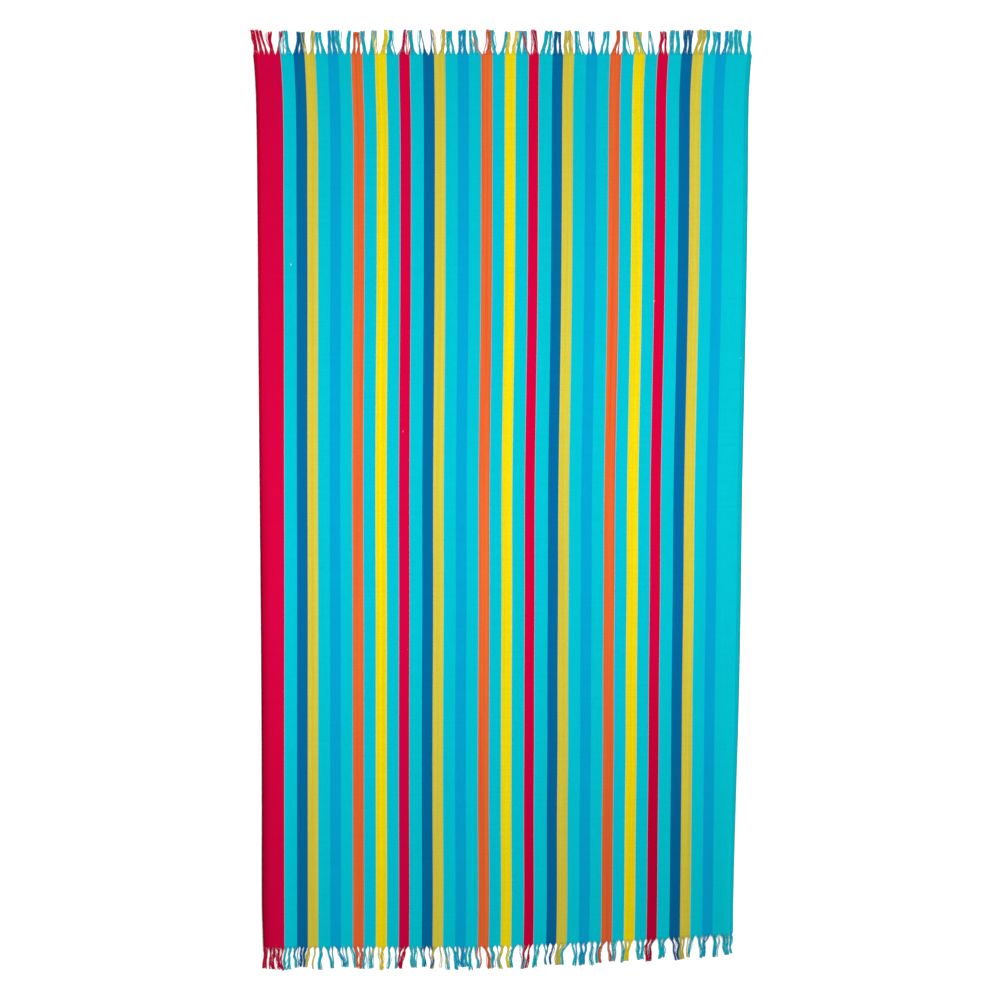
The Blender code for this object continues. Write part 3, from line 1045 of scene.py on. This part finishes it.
def addLock(build, fringe, lock, yarns, draw):
    if not yarns:
        return
    radius = yarnShape["fill"] * lock["width"] / len(yarns)
    radius = min(max(radius, yarnShape["thinnest"]), yarnShape["thickest"])
    rootRadius = weave["warpPitch"] / 2
    turns = draw.uniform(*fringe["twist"]) * 2 * math.pi
    gather = draw.uniform(*fringe["gather"])
    kink = draw.uniform(-1, 1) * fringe["kink"]
    kinkAt = draw.uniform(*yarnShape["kinkAt"])
    waist = draw.uniform(0.0, fringe["waist"])
    flare = draw.uniform(*fringe["flare"])
    waistAt = draw.uniform(*yarnShape["waistAt"])
    fork = max(0.0, draw.uniform(*fringe["fork"]))
    spots = bundleSpots(len(yarns), draw.uniform(0, 2 * math.pi))
    for across, (spotX, spotZ) in zip(yarns, spots):
        rootX, rootY, _, rootTop = lie(across, endOf(fringe))
        rootTop -= hemHeight(min(across, weave["width"] - across))
        rootZ = rootTop + rumpleHeight(across, endOf(fringe)) - rootRadius - yarnShape["rootSunk"]
        reach = lock["length"] * (1 - draw.random() * fringe["raggedness"])
        loose = 0.0
        if draw.random() < fringe["looseShare"]:
            side = draw.choice((-1, 1))
            loose = side * draw.uniform(yarnShape["looseLeast"], 1.0) * fringe["looseReach"]
        looseTurn = math.pi * draw.uniform(*yarnShape["looseBow"])
        wavePhase = draw.uniform(0, 2 * math.pi)
        waveLength = draw.uniform(*yarnShape["waveLength"])
        isLeft = across < (lock["left"] + lock["right"]) / 2
        ownGather = gather * (yarnShape["joinedGather"] if lock["joined"][0 if isLeft else 1] else 1.0)
        tipTurn = turns * reach / fringe["length"]
        tipSide = math.copysign(1, spotX * math.cos(tipTurn) - spotZ * math.sin(tipTurn))
        path = []
        radii = []
        for stop in range(yarnShape["stops"]):
            share = (stop / (yarnShape["stops"] - 1)) ** yarnShape["crowding"]
            out = -yarnShape["rootIn"] + (reach + yarnShape["rootIn"]) * share
            held = max(out, 0.0)
            gone = held / reach
            x, half, low, high = lockSection(fringe, lock, held)
            gathered = 1 - max(0.0, 1 - held / ownGather) ** yarnShape["gatherCurve"]
            turn = turns * held / fringe["length"]
            unitX = spotX * math.cos(turn) - spotZ * math.sin(turn)
            unitZ = spotX * math.sin(turn) + spotZ * math.cos(turn)
            nearTip = smooth((gone - yarnShape["tipFrom"]) / yarnShape["tipOver"])
            spread = 1 + flare * nearTip
            spread -= waist * math.exp(-(((gone - waistAt) / yarnShape["waistReach"]) ** 2))
            x += unitX * max(half - radius, 0.0) * spread
            x += kink * math.exp(-(((gone - kinkAt) / yarnShape["kinkReach"]) ** 2))
            x += fork * tipSide * nearTip
            x += loose * math.sin(looseTurn * gone)
            x += yarnShape["wave"] * math.sin(2 * math.pi * held / waveLength + wavePhase)
            z = low + radius + (unitZ + 1) / 2 * (high - low - 2 * radius)
            x = rootX + (x - rootX) * gathered
            y = rootY + (lock["rootY"] - rootY) * gathered + fringe["outwards"] * out
            path.append(Vector((x, y, rootZ + (z - rootZ) * gathered)))
            radii.append(rootRadius + (radius - rootRadius) * gathered)
        radii[-1] *= yarnShape["tipTaper"]
        addTube(build, path, radii, yarnShape["sides"], across, 1)


def makeFringe(fringe):
    draw = random.Random(fringe["seed"] + yarnShape["seedStep"])
    locks = locksOf(fringe)
    build = newBuild()
    inner = endOf(fringe) - fringe["outwards"] * weave["heading"]
    low, high = sorted([inner, endOf(fringe)])
    steps = weave["headingSteps"]
    rows = [low + (high - low) * j / steps for j in range(steps + 1)]
    addSlab(build, columns, rows, 0)
    for lock, yarns in zip(locks, shareYarns(locks, draw)):
        addLock(build, fringe, lock, yarns, draw)
    piece = makePiece(fringe["piece"], build, [wovenMaterial, yarnMaterial])
    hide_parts(fringe["node"])
    return piece


topPiece = makeFringe(fringeTop)
bottomPiece = makeFringe(fringeBottom)


# ---- specks of white lint caught in the weave ----

lint = {
    "places": [  # across, up, size
        (0.0622, 1.2788, 1.2),
        (0.2706, 0.9708, 0.8),
        (0.2797, 0.5634, 0.4),
        (0.7300, 1.2109, 1.4),
        (0.8922, 1.1070, 1.0),
    ],
    "radius": 0.00017,
    "reach": 0.0009,
    "startReach": 0.35,
    "stretch": 1.3,  # longer along the towel than across it
    "rest": 0.9,
    "rise": 0.8,
    "taper": 0.5,
    "sides": 5,
    "stops": 12,
    "turns": 1.4,
    "seed": 5,
    "colour": (0.85, 0.88, 0.86, 1.0),
    "finish": {"Roughness": 0.95, "Specular IOR Level": 0.1},
    "cloudScale": 1500.0,
    "cloudShare": 0.2,
    "darkest": 0.85,
}


def lintWhite():
    material, tree, shader = newMaterial("lintWhite", lint["finish"])
    cloud = tree.nodes.new("ShaderNodeTexNoise")
    cloud.inputs["Scale"].default_value = lint["cloudScale"]
    value = sums(tree, "MULTIPLY_ADD", cloud.outputs["Fac"], lint["cloudShare"], lint["darkest"])
    tree.links.new(shaded(tree, lint["colour"], sameHue, value), shader.inputs["Base Color"])
    return material


def addFleck(build, across, up, size, draw):
    # A curl of loose fibre that rests on the cloth
    x, y, _, top = lie(across, up)
    radius = lint["radius"] * size
    start = draw.uniform(0, 2 * math.pi)
    path = []
    radii = []
    for stop in range(lint["stops"] + 1):
        share = stop / lint["stops"]
        turn = start + lint["turns"] * 2 * math.pi * share
        reach = lint["reach"] * size * (lint["startReach"] + (1 - lint["startReach"]) * share)
        lift = top + radius * (lint["rest"] + lint["rise"] * math.sin(math.pi * share))
        along = lint["stretch"] * reach * math.sin(turn)
        path.append(Vector((x + reach * math.cos(turn), y + along, lift)))
        radii.append(radius * (1 - lint["taper"] * abs(2 * share - 1)))
    addTube(build, path, radii, lint["sides"], across, 0)


draw = random.Random(lint["seed"])
build = newBuild()
for across, up, size in lint["places"]:
    addFleck(build, across, up, size, draw)
lintPiece = makePiece("lintFlecks", build, [lintWhite()])

print("cloth declared")


# ---- floor, light and camera ----

studio = {
    "floorSize": 60.0,
    "floorDrop": 0.0002,
    "floorTone": 0.95,
    "floorRoughness": 0.9,
    "worldTone": 1.0,
    "worldStrength": 0.40,
    "backdrop": 0.81,  # how bright the world shows past the floor's edge, as the far floor does
    "sunStrength": 2.14,
    "sunSpread": 40.0,  # degrees
    "sunFrom": (0.95, 0.28, 1.0),
    "softboxPower": 29.1,
    "softboxSize": (4.4, 0.5),
    "softboxAt": (0.15, 0.17, 1.20),
    "softboxTurn": 9.0,  # degrees, so that it runs from the lower left to the upper right
}
view = {
    "target": (-0.0022, 0.0139, 0.0),
    "distance": 3.5,
    "tilt": 3.7,  # degrees towards the top end
    "lens": 67.74,
    "sensor": 36.0,
    "nearest": 0.05,
    "farthest": 50.0,
}


def makeFloor():
    half = studio["floorSize"] / 2
    low = -studio["floorDrop"]
    mesh = bpy.data.meshes.new("floor")
    corners = [(-half, -half, low), (half, -half, low), (half, half, low), (-half, half, low)]
    mesh.from_pydata(corners, [], [(0, 1, 2, 3)])
    tone = studio["floorTone"]
    finish = {"Base Color": (tone, tone, tone, 1.0), "Roughness": studio["floorRoughness"]}
    material, _, _ = newMaterial("paleFloor", finish)
    mesh.materials.append(material)
    floor = bpy.data.objects.new("floor", mesh)
    bpy.context.scene.collection.objects.link(floor)


def makeLights():
    scene = bpy.context.scene
    world = bpy.data.worlds.new("studioAir")
    world.use_nodes = True
    tree = world.node_tree
    background = tree.nodes["Background"]
    background.inputs["Color"].default_value = (studio["worldTone"],) * 3 + (1.0,)
    rays = tree.nodes.new("ShaderNodeLightPath")
    lift = studio["backdrop"] - studio["worldStrength"]
    seen = rays.outputs["Is Camera Ray"]
    strength = sums(tree, "MULTIPLY_ADD", seen, lift, studio["worldStrength"])
    tree.links.new(strength, background.inputs["Strength"])
    scene.world = world
    sun = bpy.data.lights.new("softSun", "SUN")
    sun.energy = studio["sunStrength"]
    sun.angle = math.radians(studio["sunSpread"])
    sunObject = bpy.data.objects.new("softSun", sun)
    sunObject.rotation_mode = "QUATERNION"
    sunObject.rotation_quaternion = Vector(studio["sunFrom"]).to_track_quat("Z", "Y")
    softbox = bpy.data.lights.new("softbox", "AREA")
    softbox.shape = "RECTANGLE"
    softbox.size, softbox.size_y = studio["softboxSize"]
    softbox.energy = studio["softboxPower"]
    softboxObject = bpy.data.objects.new("softbox", softbox)
    softboxObject.location = studio["softboxAt"]
    softboxObject.rotation_euler.z = math.radians(studio["softboxTurn"])
    for lamp in (sunObject, softboxObject):
        scene.collection.objects.link(lamp)


def makeCamera():
    camera = bpy.data.cameras.new("photoCamera")
    camera.lens = view["lens"]
    camera.sensor_width = view["sensor"]
    camera.clip_start = view["nearest"]
    camera.clip_end = view["farthest"]
    cameraObject = bpy.data.objects.new("photoCamera", camera)
    tilt = math.radians(view["tilt"])
    back = Vector((0.0, math.sin(tilt), math.cos(tilt))) * view["distance"]
    cameraObject.location = Vector(view["target"]) + back
    cameraObject.rotation_euler = (-tilt, 0.0, 0.0)
    bpy.context.scene.collection.objects.link(cameraObject)
    bpy.context.scene.camera = cameraObject


makeFloor()
makeLights()
makeCamera()
bpy.context.scene.view_settings.view_transform = "Standard"
print("floor, light and camera ready")
